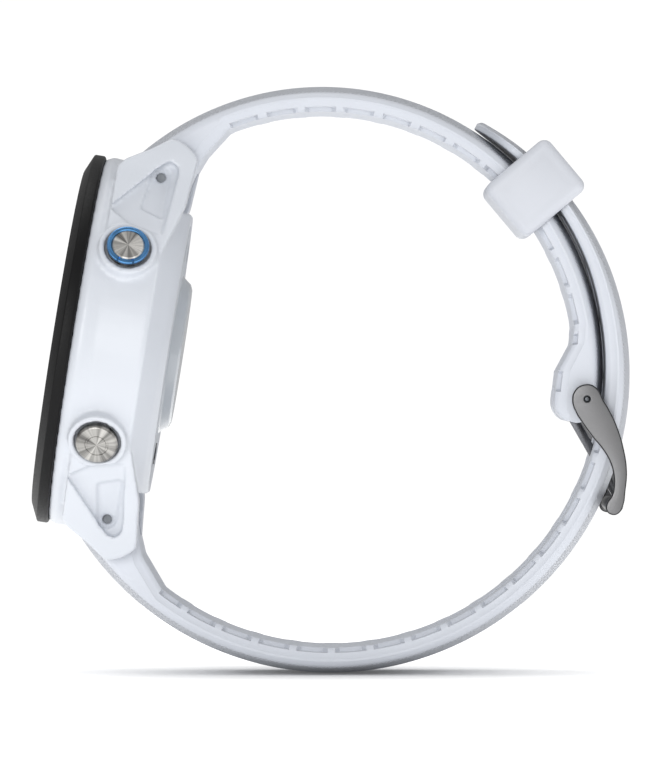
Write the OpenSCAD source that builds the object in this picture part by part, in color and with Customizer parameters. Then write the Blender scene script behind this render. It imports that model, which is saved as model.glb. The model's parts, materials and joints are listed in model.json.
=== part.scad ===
// Running watch with a buckled silicone band.
// Origin: centre of the wrist opening, on the axis of the case. X runs from the display to the
// buckle, Y along the wrist with the two-button side at -Y, Z up through 12 o'clock.
// Case parts are drawn in the case's own frame: x to 3 o'clock, y to 12 o'clock, z out of the
// display, zero at the joint between bezel and case.

/* [Case] */
// Diameter of the case and of the bezel
case_d = 46.4; // [38:0.2:56]
// Depth of the case from the bezel joint to its flat back
case_h = 11.8; // [11:0.1:14.2]
// Side wall of the case
case_wall = 2.4; // [2.2:0.1:2.9]
// Floor of the case behind the battery, with the back cover in it
floor_t = 2.0; // [1.8:0.1:2.4]
// Height of the bezel in front of the case
bezel_t = 2.4; // [2:0.1:2.9]
// Bezel width from the outside to the lens edge
bezel_w = 4.3; // [3.6:0.1:5.2]
// Lean of the display towards 12 o'clock, in degrees
case_tilt = 9; // [0:0.5:12]
// Thickness of the front lens
lens_t = 0.8; // [0.65:0.05:0.95]
// Thickness of the back cover
cover_t = 1.2; // [1:0.05:1.4]
// Radius of the raised sensor window
window_r = 9.4; // [7.8:0.1:9.8]
// Height of the sensor window over the flat back
window_h = 1.4; // [1.2:0.1:1.7]

/* [Lugs] */
// Spring bar line, measured in from the case radius
bar_in = 1.9; // [1.6:0.1:2.3]
// Spring bar depth behind the bezel joint
bar_d = 7.5; // [7.3:0.1:7.9]
// Reach of the lugs past the case radius
lug_reach = 3.2; // [2.7:0.1:3.9]
// Thickness of a lug beside the band
lug_t = 2.6; // [2.3:0.1:3.1]

/* [Buttons] */
// Diameter of a button cap
cap_d = 5.4; // [4.5:0.1:5.9]
// Radial gap around a button cap
cap_gap = 0.2; // [0.16:0.01:0.24]
// Diameter of a button stem
stem_d = 2.0; // [1.7:0.05:2.4]
// Button line behind the bezel joint
button_d = 5.0; // [4.9:0.1:5.2]
// Height of the button bosses over the flank
boss_h = 1.1; // [0.9:0.05:1.3]
// Button travel
press = 0.5; // [0.42:0.01:0.6]

/* [Band] */
// Band width, a standard quick-release size
band_w = 22; // [18.4:0.2:26.4]
// Band thickness at the crown
band_t = 3.4; // [2.9:0.05:4]
// Fall of the crown from the middle to the shoulders
crown_drop = 1.0; // [0.8:0.05:1.2]
// Inner radius of the buckle half
short_r = 31.6; // [27:0.2:38]
// How far the case back sits inside that radius
back_inset = 10.3; // [9:0.1:12]
// Angle between the case axis and each spring bar, seen from its band arc's centre
leave_a = 40.5; // [38:0.5:43]
// Radius of the band end around the spring bar
end_r = 3.55; // [3.4:0.05:3.6]
// Thickness of the band's free end, between buckle and keeper
tongue_t = 2.4; // [2:0.05:2.6]
// Thickness at the tip of the free end
tip_t = 1.2; // [1:0.05:1.4]
// Clearance between the two halves where they overlap
lap_gap = 0.3; // [0.25:0.01:0.36]
// Length of an adjusting slot
slot_l = 6.2; // [5.8:0.1:6.2]
// Width of an adjusting slot
slot_w = 2.6; // [2.5:0.1:2.8]
// Distance between adjusting slots
slot_pitch = 7.4; // [7.2:0.1:8.6]

/* [Buckle] */
// Direction of the buckle pin from the buckle half's centre, in degrees
pin_a = -7; // [-9:0.5:-5]
// Diameter of the buckle pin
pin_d = 1.5; // [1.25:0.05:1.8]
// Distance from the pin to the end bar
buckle_l = 13.6; // [13:0.1:15]
// Diameter of the end bar
endbar_d = 2.3; // [2:0.1:2.7]
// Thickness of each buckle arm
arm_t = 1.5; // [1.25:0.05:1.8]
// Width of the tang
tang_w = 2.0; // [1.7:0.05:2.2]
// Thickness of the tang
tang_t = 1.1; // [1.1:0.05:1.4]

/* [Keeper] */
// Direction of the keeper from the buckle half's centre, in degrees
keeper_a = 40; // [38:1:44]
// Length of the keeper along the band
keeper_l = 8.2; // [6.3:0.1:9]
// Wall of the keeper beside and outside the band
keeper_wall = 1.6; // [1.3:0.05:1.9]

/* [Fits] */
// Radial running clearance of pins and stems
run_gap = 0.05; // [0.03:0.01:0.08]
// Clearance between the band and the parts beside it
side_gap = 0.25; // [0.2:0.01:0.3]
// Clearance of parts stacked inside the case
stack_gap = 0.1; // [0.08:0.01:0.12]

/* [Hidden] */
$fn = 96;
eps = 0.02;

// ---- case ----
case_r = case_d / 2;
bezel_in_r = case_r - 0.5;              // rim of the case under the bezel
crease_d = 1.0;                         // front crease of the flank
flank_d = 9.0;                          // rear crease of the flank
cavity_r = case_r - case_wall;
back_r = case_r - 4.8;                  // edge of the flat back
bar_y = case_r - bar_in;
bar_z = -bar_d;
pocket_r = end_r + 0.15;                // hollow of the case around a band end
shelf_d = bar_d - pocket_r - 0.9;       // full-width part of the cavity ends here
cav_y = bar_y - pocket_r - 1.4;         // half height of the cavity between the band ends
cover_r = cav_y;
rear_open_r = cover_r - 1.6;
screw_r = cover_r - 2.0;                // circle of the back cover screws
screw_a = [65, 115, 245, 295];
post_r = 1.7;
post_h = 0.9;                           // screw posts stand this far over the floor
thread_r = 0.5;
socket_w = 7.4;                         // charging socket
socket_h = 2.6;
socket_y = (window_r + 0.6 + cover_r - 1.1) / 2;
floor_z = -(case_h - floor_t);
lug_in = band_w / 2 + side_gap;
lug_out = lug_in + lug_t;
lug_y = case_r + lug_reach;
lug_round = lug_y - bar_y;              // radius of the lug's end about the spring bar
// the lug's outer face in plan leaves the round flank smoothly; below it, the pocket's floor
lug_line = [case_r * 0.999 * dir(30), [lug_out + 3.85, case_r - 6], [lug_out + 1.4, case_r - 1.2],
    [lug_out + 0.4, case_r + 1.3], [lug_out - 0.4, lug_y - 0.3], [lug_out - 1.1, lug_y + 0.5]];
lug_floor = [(case_r + 0.1) * dir(33), [lug_out + 2.75, case_r - 6], [lug_out + 0.35, case_r - 2],
    [lug_out - 0.55, case_r + 0.4], [lug_out - 0.55, lug_y + 2]];

// ---- spring bars ----
bar_r = 0.95;
tip_r = 0.57;
bar_half = band_w / 2 - 0.1;
release_x = bar_half - 4.6;             // finger knob of the quick release
release_travel = 1.7;
knob_d = bar_d + end_r - 0.5;

// ---- front stack ----
lens_r = case_r - bezel_w;
lens_z = bezel_t - 0.3 - lens_t;        // lens sits just under the bezel rim
panel_t = 1.0;
panel_r = lens_r - 1.6;
panel_z = lens_z - stack_gap - panel_t;
spigot_r = cavity_r - stack_gap;
spigot_t = 1.0;
spigot_d = 1.3;

// ---- inside ----
board_r = cav_y - 0.6;
board_t = 0.8;
board_z = -shelf_d - 0.4 - board_t;
chip_t = 0.9;
battery_h = -floor_z - 0.2 + board_z - chip_t - 0.3;
battery_y = screw_r * 0.905 - 2.2;      // half height, clear of the screw posts
motor_r = 3.6;
motor_t = 2.4;
motor_x = cav_y * 0.9 + 0.2;
motor_y = -3.6;
motor_z = floor_z + 0.1;
battery_x = motor_x - motor_r - 0.5;

// ---- buttons: angle in the case plane ----
start_a = 30;
lap_a = -30;
light_a = 150;
up_a = 180;
down_a = 210;
button_angles = [start_a, lap_a, light_a, up_a, down_a];
boss_r = cap_d / 2 + 0.95;
boss_face = case_r + boss_h;
cap_proud = 0.6;
cap_t = 1.3;
cap_seat = boss_face + cap_proud - cap_t - press - 0.1;  // floor of the cap's well
stem_in = cavity_r - 1.6;
clip_t = 0.3;
clip_in = clip_t + 0.1;                 // clip to the cavity's wall
seal_x = cavity_r + 0.9;
seal_t = 0.7;
vent_r = 1.6;

// ---- band geometry in the XZ plane, as [x, z] ----
function dir(a) = [cos(a), sin(a)];
function spin(v) = [-v[1], v[0]];
// point where two circles meet, on the left of the line from p to q
function meet(p, rp, q, rq) =
    let (d = norm(q - p), u = (q - p) / d, s = (d * d + rp * rp - rq * rq) / (2 * d))
    p + u * s + spin(u) * sqrt(rp * rp - s * s);
function arc(c, r, a0, a1, n) = [for (i = [0:n]) c + r * dir(a0 + (a1 - a0) * i / n)];

out_a = 180 - case_tilt;                // direction in which the display faces
face_x = (short_r - back_inset) + case_h;
case_c = face_x * dir(out_a);
up_dir = dir(90 - case_tilt);
function on_side(u, d) = case_c + u * up_dir - d * dir(out_a);
bar_up = on_side(bar_y, bar_d);
bar_low = on_side(-bar_y, bar_d);
bar_inset = 2.7;                        // spring bar inside the middle of the band
short_crown = short_r + band_t;
short_c = bar_up - (short_r + band_t / 2 - bar_inset) * dir(out_a - leave_a);
pin_inset = 2.05;                       // buckle pin inside the crown
pin = short_c + (short_crown - pin_inset) * dir(pin_a);
head_lap = pin_inset + 0.1;             // buckle pin to the inside of the long half
// the long half leaves the case at the mirrored angle and closes just outside the pin
long_dir = dir(out_a + leave_a + 1.5);
k1 = band_t / 2 - bar_inset;
span = bar_low - pin;
long_r = (span * span - 2 * k1 * (span * long_dir) + k1 * k1 - head_lap * head_lap)
    / (2 * (span * long_dir - k1 - head_lap));
long_c = bar_low - (long_r + k1) * long_dir;
long_crown = long_r + band_t;
long_bar_a = out_a + leave_a + 1.5 - 360;
short_bar_a = out_a - leave_a;
// the free end turns in more tightly so that it lies on the buckle half at its tip
turn_a = 12;
tip_a = 62;
tip_reach = short_crown + lap_gap + tip_t;
bend_p = long_c + long_crown * dir(turn_a) - short_c;
bend_d = dir(tip_a) - dir(turn_a);
bend_b = bend_p * bend_d / (bend_d * bend_d);
bend_k = (bend_p * bend_p - tip_reach * tip_reach) / (bend_d * bend_d);
tongue_crown = -bend_b + sqrt(bend_b * bend_b - bend_k);
tongue_c = long_c + (long_crown - tongue_crown) * dir(turn_a);
used_a = -18.5;                         // slot that holds the tang, from the long half's centre
slot_step = slot_pitch / (long_r + band_t / 2) * 180 / PI;
thin_a = used_a + slot_step;            // the long half is thinner from here to its tip
tang_gap = 0.3;                         // tang to band, each side

// ---- buckle ----
bar_gap = 0.25;
endbar = meet(pin, buckle_l, long_c, long_crown + bar_gap + endbar_d / 2);
buckle_dir = (endbar - pin) / norm(endbar - pin);
buckle_out = spin(buckle_dir);
// point at s along the line from pin to end bar and t outwards from it
function on_buckle(s, t) = pin + s * buckle_dir + t * buckle_out;
buckle_scale = buckle_l / 13.6;
arm_in = band_w / 2 + side_gap;
head_r = 1.85;
tang_tip = 0.8;                         // thickness of the tang at its tip
notch_t = 0.15;                         // floor of the end bar's notch for the tang's tip
tang_end = on_buckle(buckle_l + 0.3, notch_t + 0.45);
tang_start = on_buckle(1.9, -2.55);

// ---- keeper ----
keeper_in = short_r - 0.35;
keeper_out = short_crown + 2.85;
keeper_under = 1.9;
keeper_corner = 1.2;

// ================= placing =================
module on_case() {
    translate([case_c[0], 0, case_c[1]]) rotate([0, case_tilt, 0]) rotate([90, 0, -90])
        children();
}
// x outwards along a button at angle a
module on_button(a) {
    on_case() translate([0, 0, -button_d]) rotate([0, 0, a]) children();
}
// 2D in the XZ plane, extruded to half width h each way along Y
module across(h) {
    rotate([90, 0, 0]) linear_extrude(height = 2 * h, center = true) children();
}
// ring sector about a Y-parallel axis through c, from a profile drawn as (radius, y)
module swept(c, a0, a1) {
    translate([c[0], 0, c[1]]) rotate([90, 0, 0]) rotate([0, 0, a0])
        rotate_extrude(angle = a1 - a0) children();
}
module tube(r_out, r_in, h) {
    difference() {
        cylinder(r = r_out, h = h);
        translate([0, 0, -eps]) cylinder(r = r_in, h = h + 2 * eps);
    }
}
module on_vent() {
    translate([0, 0, -button_d - 1.5]) rotate([0, 0, (up_a + down_a) / 2]) children();
}
module disc_x(r, x0, x1) {
    translate([x0, 0, 0]) rotate([0, 90, 0]) cylinder(r = r, h = x1 - x0);
}

// ================= case =================
module body_form() {
    rotate_extrude() polygon([[0, 0], [bezel_in_r, 0], [case_r, -crease_d], [case_r - 0.15, -2.8],
        [case_r, -flank_d], [back_r + 1.5, -case_h + 0.7], [back_r, -case_h], [0, -case_h]]);
}
module lug_pair() {
    // seen from the side: sloping front line, and an end round about the spring bar
    side = concat([[case_r * 0.3, -crease_d - 1], [case_r - 1.2, -crease_d - 1],
        [case_r - 0.2, -crease_d - 1.9], [bar_y + 3.4, bar_z + lug_round * 0.34]],
        [for (a = [-6:-12:-54]) [bar_y, bar_z] + lug_round * dir(a)],
        [[bar_y + 1.5, bar_z - 4], [back_r, -case_h + 0.7], [case_r * 0.5, -flank_d],
            [case_r * 0.3, -flank_d]]);
    for (m = [0, 1]) mirror([m, 0, 0]) intersection() {
        rotate([90, 0, 90]) linear_extrude(height = case_r) polygon(side);
        translate([0, 0, -case_h - 1]) linear_extrude(height = case_h + 1)
            polygon(concat([[lug_in, 0], [cavity_r, 0]], lug_line, [[lug_in, lug_y]]));
    }
}
module band_pocket() {
    translate([-lug_in, bar_y, bar_z]) rotate([0, 90, 0]) cylinder(r = pocket_r, h = 2 * lug_in);
    translate([-lug_in, bar_y, -case_h - 1])
        cube([2 * lug_in, 12, case_h + 1 - bar_d + pocket_r]);
    translate([-lug_in, bar_y - pocket_r, -case_h - 1])
        cube([2 * lug_in, pocket_r + 1, case_h + 1 - bar_d]);
}
module bar_holes() {
    for (s = [1, -1]) translate([0, s * bar_y, bar_z])
        disc_x(tip_r + run_gap, -lug_out - 6, lug_out + 6);
}
module case_shell() {
    difference() {
        union() {
            body_form();
            lug_pair();
            mirror([0, 1, 0]) lug_pair();
            for (a = button_angles) translate([0, 0, -button_d]) rotate([0, 0, a])
                disc_x(boss_r, cavity_r - 1, boss_face);
        }
        band_pocket();
        mirror([0, 1, 0]) band_pocket();
        for (s = [1, -1]) mirror([0, s < 0 ? 1 : 0, 0]) lug_pockets();
        bar_holes();
        // cavity: full circle in front, cut flat between the band ends behind
        translate([0, 0, -shelf_d]) cylinder(r = cavity_r, h = shelf_d + 1);
        intersection() {
            translate([0, 0, floor_z]) cylinder(r = cavity_r, h = -floor_z);
            translate([-cavity_r, -cav_y, floor_z]) cube([2 * cavity_r, 2 * cav_y, -floor_z]);
        }
        // opening and rebate of the back cover
        translate([0, 0, -case_h - 1]) cylinder(r = rear_open_r, h = floor_t + 1 + eps);
        translate([0, 0, -case_h - 1]) cylinder(r = cover_r + 0.05, h = cover_t + 1);
        // groove of the front gasket
        translate([0, 0, -0.4]) tube(cavity_r + 1.35, cavity_r + 0.45, 1);
        for (a = button_angles) translate([0, 0, -button_d]) rotate([0, 0, a]) {
            disc_x(cap_d / 2 + cap_gap, cap_seat, boss_face + 1);
            disc_x(stem_d / 2 + run_gap, cavity_r - 3, cap_seat + eps);
        }
        // vent hole through the flank between the two lower buttons of the 9 o'clock side
        on_vent() disc_x(0.5, cavity_r - 1, case_r + 1);
        on_vent() disc_x(vent_r, cavity_r - 0.5, cavity_r + 0.6);
        flank_slots();
    }
}
// three-cornered hollow in each lug's outer face; inside it, an arched recess round the bar's end
module lug_pockets() {
    hollow = concat([[bar_y - 4.6, bar_z + 5.7], [bar_y - 6.2, bar_z + 3], [bar_y - 7.2, bar_z - 1.3]],
        [for (a = [-100:40:60]) [bar_y + 0.9, bar_z - 0.9] + 1.2 * dir(a)]);
    recess = concat([for (a = [-90:30:90]) [bar_y, bar_z] + 1.25 * dir(a)],
        [[bar_y - 4.2, bar_z + 1.9], [bar_y - 5.2, bar_z - 1.2]]);
    for (m = [0, 1]) mirror([m, 0, 0]) {
        lug_cut(hollow, 0);
        lug_cut(recess, 0.55);
    }
}
// cuts a side outline into the lug, down to the pocket floor and deeper by the given amount
module lug_cut(side, deeper) {
    intersection() {
        rotate([90, 0, 90]) linear_extrude(height = case_r + 2) polygon(side);
        translate([-deeper, 0, -case_h]) linear_extrude(height = case_h)
            polygon(concat(lug_floor, [[case_r + 3, lug_y + 2], [case_r + 3, lug_floor[0][1]]]));
    }
}
module flank_slots() {
    // two moulded marks between the 3 o'clock side buttons
    for (s = [1, -1]) translate([case_r - 0.35, s * 5.6, -button_d]) {
        rotate([0, 90, 0]) cylinder(r = 0.45, h = 1);
        translate([0, s > 0 ? 0 : -1.2, -0.45]) cube([1, 1.2, 0.9]);
    }
}
module screw_posts() {
    for (a = screw_a) rotate([0, 0, a]) translate([screw_r, 0, -case_h + cover_t])
        cylinder(r = post_r, h = floor_t - cover_t + post_h);
}
module screw_holes() {
    for (a = screw_a) rotate([0, 0, a]) translate([screw_r, 0, -case_h + cover_t - eps])
        cylinder(r = thread_r, h = floor_t - cover_t + post_h + 1);
}
module case() {
    color("#ced1d8") on_case() difference() {
        union() {
            case_shell();
            screw_posts();
        }
        screw_holes();
    }
}

// ================= front =================
module bezel() {
    color("#222222") on_case() {
        rotate_extrude() polygon([[lens_r - 1.2, 0], [case_r - 0.2, 0], [case_r, 0.2],
            [case_r, bezel_t - 1], [case_r - 2.2, bezel_t], [lens_r + 0.25, bezel_t],
            [lens_r + 0.05, bezel_t - 0.25], [lens_r + 0.05, lens_z], [lens_r - 1.2, lens_z]]);
        translate([0, 0, -spigot_d]) tube(spigot_r, spigot_r - spigot_t, spigot_d + eps);
    }
}
module lens() {
    color("#101418") on_case() translate([0, 0, lens_z]) cylinder(r = lens_r, h = lens_t);
}
module display_panel() {
    color("#1b1f24") on_case() translate([0, 0, panel_z]) cylinder(r = panel_r, h = panel_t);
}
module display_frame() {
    // chassis ring that carries panel and board
    color("#2c2f33") on_case() difference() {
        union() {
            translate([0, 0, -shelf_d + 0.1])
                cylinder(r = panel_r + 0.2, h = shelf_d - 0.1 + panel_z - stack_gap);
            translate([0, 0, -shelf_d + 0.1]) cylinder(r = spigot_r - spigot_t - 0.2, h = 0.9);
        }
        translate([0, 0, -shelf_d - 1]) cylinder(r = panel_r - 2.2, h = shelf_d + 1 + panel_z);
    }
}
module front_gasket() {
    color("#202020") on_case() translate([0, 0, -0.4]) tube(cavity_r + 1.3, cavity_r + 0.5, 0.4);
}
module antenna_ring() {
    color("#b8860b") on_case() translate([0, 0, -spigot_d - 0.5])
        tube(spigot_r, spigot_r - 0.7, 0.4);
}

// ================= inside =================
module main_board() {
    color("#0b5d3b") on_case() translate([0, 0, board_z]) difference() {
        cylinder(r = board_r, h = board_t);
        for (a = screw_a) rotate([0, 0, a]) translate([board_r - 1.8, 0, -1])
            cylinder(r = 0.7, h = board_t + 2);
    }
}
module board_chips() {
    chips = [[-6.5, -5, 6, 6], [2, -6, 5, 4.4], [-7, 4, 4.2, 3.4], [0, 3, 3, 3], [5.4, 2.6, 4, 5]];
    k = board_r / 15;
    color("#15171a") on_case() for (c = chips)
        translate([c[0] * k, c[1] * k, board_z - chip_t]) cube([c[2] * k, c[3] * k, chip_t]);
}
module board_spacers() {
    color("#c9a227") on_case() for (a = screw_a) rotate([0, 0, a])
        translate([board_r - 1.8, 0, board_z + board_t]) tube(1.2, 0.7, -board_z - board_t - shelf_d + 0.1);
}
module battery() {
    color("#8d9196") on_case() translate([-battery_x, -battery_y, floor_z + 0.2])
        cube([2 * battery_x - 0.4, 2 * battery_y, battery_h]);
}
module motor_can() {
    color("#c0c4c8") on_case() translate([motor_x, motor_y, motor_z]) difference() {
        cylinder(r = motor_r, h = motor_t);
        translate([0, 0, 0.3]) cylinder(r = motor_r - 0.3, h = motor_t - 0.6);
    }
    color("#c0c4c8") on_case() translate([motor_x, motor_y, motor_z + eps])
        cylinder(r = 0.4, h = motor_t - 2 * eps);
}
module motor_rotor() {
    color("#6f7276") on_case() translate([motor_x, motor_y, motor_z + 0.6])
        difference() {
            union() {
                intersection() {
                    cylinder(r = motor_r - 0.6, h = motor_t - 1.2);
                    translate([-motor_r, 0, 0]) cube([2 * motor_r, motor_r, motor_t]);
                }
                cylinder(r = 1.1, h = motor_t - 1.2);
            }
            translate([0, 0, -1]) cylinder(r = 0.4 + run_gap, h = motor_t + 2);
        }
}
module buzzer() {
    color("#b99a3c") on_case() translate([motor_x - 0.2, 4.2, motor_z])
        cylinder(r = 3.1, h = 1.1);
}
module button_switches() {
    color("#33373c") for (a = button_angles) on_button(a) {
        translate([stem_in - press - 1.3, -1.5, -1.3]) cube([1.2, 3, 2.6]);
        disc_x(0.9, stem_in - press - 0.1 - eps, stem_in - press - 0.05);
    }
}
module pressure_vent() {
    color("#f0f0f0") on_case() on_vent() disc_x(vent_r, cavity_r - 0.4, cavity_r + 0.1);
}

// ================= back =================
module back_cover() {
    color("#b4b9bf") on_case() difference() {
        translate([0, 0, -case_h]) cylinder(r = cover_r, h = cover_t);
        translate([0, 0, -case_h - 1]) cylinder(r = window_r + 0.6, h = cover_t + 2);
        translate([-socket_w / 2 - 0.05, -socket_y - socket_h / 2 - 0.05, -case_h - 1])
            cube([socket_w + 0.1, socket_h + 0.1, cover_t + 2]);
        for (a = screw_a) rotate([0, 0, a]) translate([screw_r, 0, -case_h - 1]) {
            cylinder(r = 0.7 + run_gap, h = cover_t + 2);
            cylinder(r = 1.3 + run_gap, h = 1.6);
        }
        translate([0, 0, -case_h + cover_t - 0.4]) tube(cover_r - 0.3, cover_r - 1.1, 1);
    }
}
module back_gasket() {
    color("#202020") on_case() translate([0, 0, -case_h + cover_t - 0.4])
        tube(cover_r - 0.35, cover_r - 1.05, 0.4);
}
module back_screws() {
    color("#9aa0a6") on_case() for (a = screw_a) rotate([0, 0, a])
        translate([screw_r, 0, -case_h + 0.1]) difference() {
            union() {
                cylinder(r = 1.3, h = 0.5);
                cylinder(r = thread_r, h = floor_t + post_h - 0.2);
                cylinder(r = 0.7, h = cover_t - 0.1);
            }
            translate([0, 0, -1]) cylinder(r = 0.55, h = 1.35, $fn = 6);
        }
}
module sensor_window() {
    color("#3a3d42") on_case() rotate_extrude() polygon([[0, -case_h - window_h],
        [window_r - 1, -case_h - window_h], [window_r - 0.4, -case_h - window_h + 0.25],
        [window_r + 0.4, -case_h - 0.15], [window_r + 0.6, -case_h], [window_r + 0.6, -case_h + cover_t],
        [window_r - 0.6, -case_h + cover_t], [window_r - 0.8, -case_h - window_h + 0.9],
        [0, -case_h - window_h + 0.9]]);
}
module sensor_board() {
    color("#14532d") on_case() {
        translate([0, 0, -case_h + 0.3]) cylinder(r = window_r - 1.1, h = 0.6);
        for (a = [0:60:300]) rotate([0, 0, a]) translate([0.49 * window_r, -0.7, -case_h - 0.3])
            cube([1.4, 1.4, 0.6]);
    }
}
module charge_socket() {
    color("#2a2a2c") on_case() translate([-socket_w / 2, -socket_y - socket_h / 2, -case_h])
        difference() {
            cube([socket_w, socket_h, cover_t + 0.3]);
            translate([0.5, 0.5, -eps]) cube([socket_w - 1, socket_h - 1, 0.9]);
        }
}
module charge_pins() {
    color("#d4af37") on_case() for (i = [-1.5:1:1.5])
        translate([i * 1.5, -socket_y, -case_h + 0.4]) cylinder(r = 0.4, h = 0.48);
}

// ================= buttons =================
module button_cap(a) {
    on_button(a) {
        disc_x(cap_d / 2, boss_face + cap_proud - cap_t, boss_face + cap_proud - 0.2);
        disc_x(cap_d / 2 - 0.2, boss_face + cap_proud - 0.25, boss_face + cap_proud);
        difference() {
            disc_x(stem_d / 2, stem_in, boss_face + cap_proud - 1);
            translate([seal_x, 0, 0]) rotate([0, 90, 0]) tube(stem_d, stem_d / 2 - 0.3, seal_t);
            translate([cavity_r - clip_in, 0, 0]) rotate([0, 90, 0])
                tube(stem_d, stem_d / 2 - 0.3, clip_t);
        }
    }
}
module button_seal(a) {
    on_button(a) translate([seal_x, 0, 0]) rotate([0, 90, 0])
        tube(stem_d / 2 - 0.02, stem_d / 2 - 0.3, seal_t);
}
module button_clip(a) {
    on_button(a) translate([cavity_r - clip_in, 0, 0]) rotate([0, 90, 0])
        difference() {
            tube(stem_d / 2 + 0.8, stem_d / 2 - 0.3, clip_t);
            translate([-stem_d / 2 + 0.1, 0, -1]) cube([stem_d - 0.2, stem_d, clip_t + 2]);
        }
}
module start_cap() {
    color("#8fa9bd") difference() {
        button_cap(start_a);
        on_button(start_a) translate([boss_face + cap_proud - 0.5, 0, 0]) rotate([0, 90, 0])
            tube(cap_d / 2 + 1, cap_d / 2 - 0.65, 1);
    }
}
module start_ring() {
    color("#4f86b8") on_button(start_a) translate([boss_face + cap_proud - 0.5, 0, 0])
        rotate([0, 90, 0]) difference() {
            union() {
                tube(cap_d / 2, cap_d / 2 - 0.65, 0.3);
                tube(cap_d / 2 - 0.2, cap_d / 2 - 0.65, 0.5);
            }
            for (s = [1, -1]) rotate([0, 0, 20 * s - 90]) translate([cap_d / 2 - 0.9, -0.15, 0.3])
                cube([1, 0.3, 1]);
        }
}
module start_seal() { color("#303030") button_seal(start_a); }
module start_clip() { color("#8a8f94") button_clip(start_a); }
module lap_cap() { color("#a9adb3") button_cap(lap_a); }
module lap_seal() { color("#303030") button_seal(lap_a); }
module lap_clip() { color("#8a8f94") button_clip(lap_a); }
module light_cap() { color("#a9adb3") button_cap(light_a); }
module light_seal() { color("#303030") button_seal(light_a); }
module light_clip() { color("#8a8f94") button_clip(light_a); }
module up_cap() { color("#a9adb3") button_cap(up_a); }
module up_seal() { color("#303030") button_seal(up_a); }
module up_clip() { color("#8a8f94") button_clip(up_a); }
module down_cap() { color("#a9adb3") button_cap(down_a); }
module down_seal() { color("#303030") button_seal(down_a); }
module down_clip() { color("#8a8f94") button_clip(down_a); }

// ================= spring bars =================
// the bar and its release lie in the frame of one lug pair; s is +1 at 12 o'clock
module bar_tube(s) {
    on_case() translate([0, s * bar_y, bar_z]) difference() {
        union() {
            disc_x(bar_r, -bar_half, bar_half);
            disc_x(tip_r, bar_half - 1, bar_half + 1.7);
        }
        disc_x(tip_r + run_gap, -bar_half - 1, -release_x + 4);
        translate([-release_x - tip_r - 0.1, -tip_r - run_gap, -bar_r - 1])
            cube([release_travel + 2 * tip_r + 0.2, 2 * (tip_r + run_gap), bar_r + 1]);
    }
}
module bar_release(s) {
    on_case() translate([0, s * bar_y, bar_z]) {
        disc_x(tip_r, -bar_half - 1.7, -release_x + tip_r);
        translate([-release_x, 0, -knob_d + bar_d]) cylinder(r = tip_r, h = knob_d - bar_d);
        translate([-release_x, 0, -knob_d + bar_d - 0.3]) cylinder(r = 1.1, h = 0.9);
    }
}
module upper_bar() { color("#9aa0a6") bar_tube(1); }
module upper_release() { color("#c3c7cb") bar_release(1); }
module lower_bar() { color("#9aa0a6") bar_tube(-1); }
module lower_release() { color("#c3c7cb") bar_release(-1); }
// room for bar, release stem and knob in a band end
module bar_room(s) {
    on_case() translate([0, s * bar_y, bar_z]) {
        disc_x(bar_r + 0.02, -band_w, band_w);
        translate([-release_x - tip_r - 0.3, -tip_r - 0.2, -end_r - 6])
            cube([release_travel + 2 * tip_r + 0.6, 2 * tip_r + 0.4, end_r + 6]);
        translate([-release_x - 1.7, -1.7, -end_r - 6])
            cube([release_travel + 3.4, 3.4, 6 + 1.5]);
    }
}

// ================= band =================
// cross-section as (radius, y): flat inside, straight sides, round shoulders, crowned outside
module band_section(r, crown) {
    h = band_w / 2;
    polygon([[r, -h + 0.4], [r + 0.4, -h], [crown - crown_drop - 0.7, -h],
        [crown - crown_drop - 0.2, -h + 0.3], [crown - crown_drop, -h + 0.9],
        [crown - crown_drop * 0.5, -h + 3.2], [crown - crown_drop * 0.14, -h * 0.4],
        [crown, -h * 0.14], [crown, h * 0.14], [crown - crown_drop * 0.14, h * 0.4],
        [crown - crown_drop * 0.5, h - 3.2], [crown - crown_drop, h - 0.9],
        [crown - crown_drop - 0.2, h - 0.3], [crown - crown_drop - 0.7, h], [r + 0.4, h],
        [r, h - 0.4]]);
}
// thick end around a spring bar; s is +1 for the buckle half and -1 for the long half
module band_end(s, c, r, crown, bar_a) {
    join_a = bar_a - s * (19 + 0.6);    // runs a little way into the arc, to fuse with it
    barrel = on_side(s * bar_y, bar_d);
    intersection() {
        swept(c, min(join_a, bar_a + s * 12), max(join_a, bar_a + s * 12)) band_section(r - 8, crown);
        across(band_w / 2 + 1) {
            translate(barrel) circle(r = end_r);
            polygon([on_side(s * (bar_y + 1.4), bar_d - end_r + 0.1), on_side(s * bar_y, bar_d - end_r),
                on_side(s * bar_y, bar_d), on_side(s * bar_y, bar_d + end_r),
                on_side(s * (bar_y + 1.3), bar_d + end_r + 0.4),
                on_side(s * (bar_y + 3.9), bar_d + end_r + 1.5), c + (r + eps) * dir(join_a),
                c + (crown + 3) * dir(join_a), on_side(s * (bar_y + 6.2), bar_d - end_r + 1.2),
                on_side(s * (bar_y + 3.4), bar_d - end_r + 0.4)]);
        }
    }
}
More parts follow.
